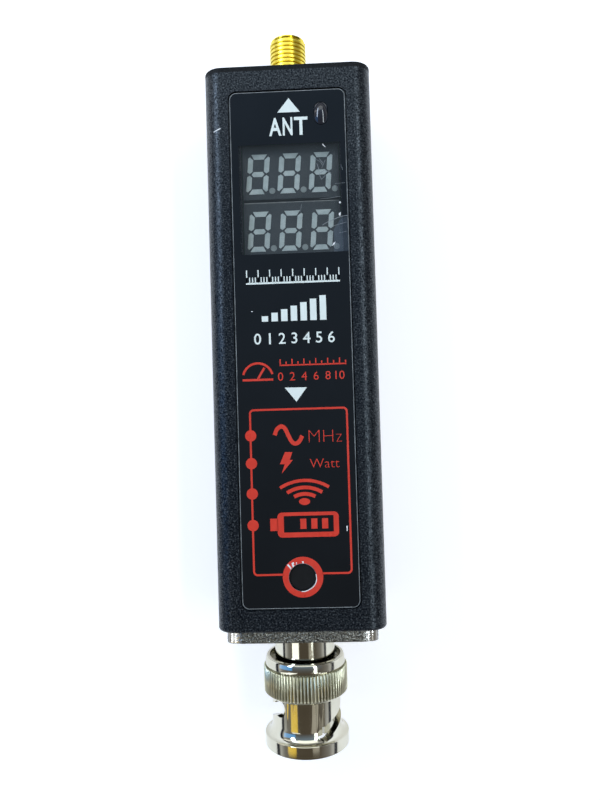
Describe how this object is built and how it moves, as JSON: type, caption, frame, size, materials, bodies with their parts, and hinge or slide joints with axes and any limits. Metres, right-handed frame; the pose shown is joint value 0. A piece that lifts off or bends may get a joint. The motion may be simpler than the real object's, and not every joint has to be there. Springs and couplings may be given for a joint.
{
  "type": "handheld frequency counter",
  "caption": "Pocket in-line radio frequency and power meter: black tube with LED displays and a push button in front, an SMA jack at one end and a turning BNC bayonet plug at the other.",
  "frame": {"origin": "under the middle of the whole length, on the plane of the flat back", "axes": "+X to the right of the front, +Y from the BNC plug to the SMA jack, +Z out of the front face"},
  "size_m": [0.0276, 0.123, 0.0203],
  "materials": {
    "black_anodised": "blasted and anodised black",
    "black_plastic": "fine matt",
    "black_screws": "blackened",
    "nickel_screws": "nickel plated",
    "cast_nickel": "grainy nickel plate on a casting",
    "overlay": "gloss film with white and red print",
    "clear_window": "clear",
    "display_face": "dark grey",
    "display_segments": "unlit, grey green",
    "board": "green solder mask",
    "led_cream": "cream",
    "smoked_lens": "smoked, glossy",
    "button_black": "satin",
    "switch_black": "matt",
    "spring_steel": "bright",
    "chip_black": "matt",
    "tinned_steel": "tinned",
    "cell_foil": "satin foil",
    "foam": "closed cell",
    "lead_red": "smooth insulation",
    "lead_black": "smooth insulation",
    "gold": "gold plated",
    "white_insulator": "smooth white",
    "nickel": "nickel plated, polished",
    "gasket": "smooth"
  },
  "bodies": {
    "meter": {"housing": "black_anodised", "top_cap": "black_plastic", "top_cap_screws": "black_screws", "end_plate": "cast_nickel", "end_plate_screws": "nickel_screws", "front_overlay": "overlay", "display_window": "clear_window", "led_display_upper": "display_face", "led_segments_upper": "display_segments", "led_display_lower": "display_face", "led_segments_lower": "display_segments", "main_board": "board", "indicator_led": "led_cream", "indicator_lens": "smoked_lens", "switch_body": "switch_black", "switch_dome": "spring_steel", "microcontroller": "chip_black", "charger_chip": "chip_black", "rf_shield": "tinned_steel", "usb_socket": "tinned_steel", "usb_tongue": "chip_black", "battery_cell": "cell_foil", "battery_pad": "foam", "battery_lead_red": "lead_red", "battery_lead_black": "lead_black", "sma_body": "gold", "sma_nut": "gold", "sma_lock_washer": "gold", "sma_insulator": "white_insulator", "sma_contact": "gold", "bnc_body": "nickel", "bnc_nut": "nickel", "bnc_lock_washer": "nickel", "bnc_insulator": "white_insulator", "bnc_centre_pin": "gold", "contact_ferrule": "nickel", "bnc_gasket": "gasket", "wave_spring": "spring_steel"},
    "button": {"mode_button": "button_black", "switch_plunger": "switch_black"},
    "coupling_carrier": {"thrust_washer": "nickel"},
    "coupling": {"coupling_sleeve": "nickel", "snap_ring": "spring_steel"}
  },
  "joints": [
    {"name": "button_press", "type": "slide", "parent": "meter", "child": "button", "axis": [0, 0, -1], "range_m": [0, 0.00025], "stiffness_N_per_m": 2000, "deforming": ["switch_dome"]},
    {"name": "coupling_slide", "type": "slide", "parent": "meter", "child": "coupling_carrier", "axis": [0, -1, 0], "range_m": [0, 0.0005], "stiffness_N_per_m": 8000, "deforming": ["wave_spring"]},
    {"name": "coupling_turn", "type": "hinge", "parent": "coupling_carrier", "child": "coupling", "pos_m": [0, -0.054, 0.01], "axis": [0, 1, 0], "continuous": true}
  ]
}
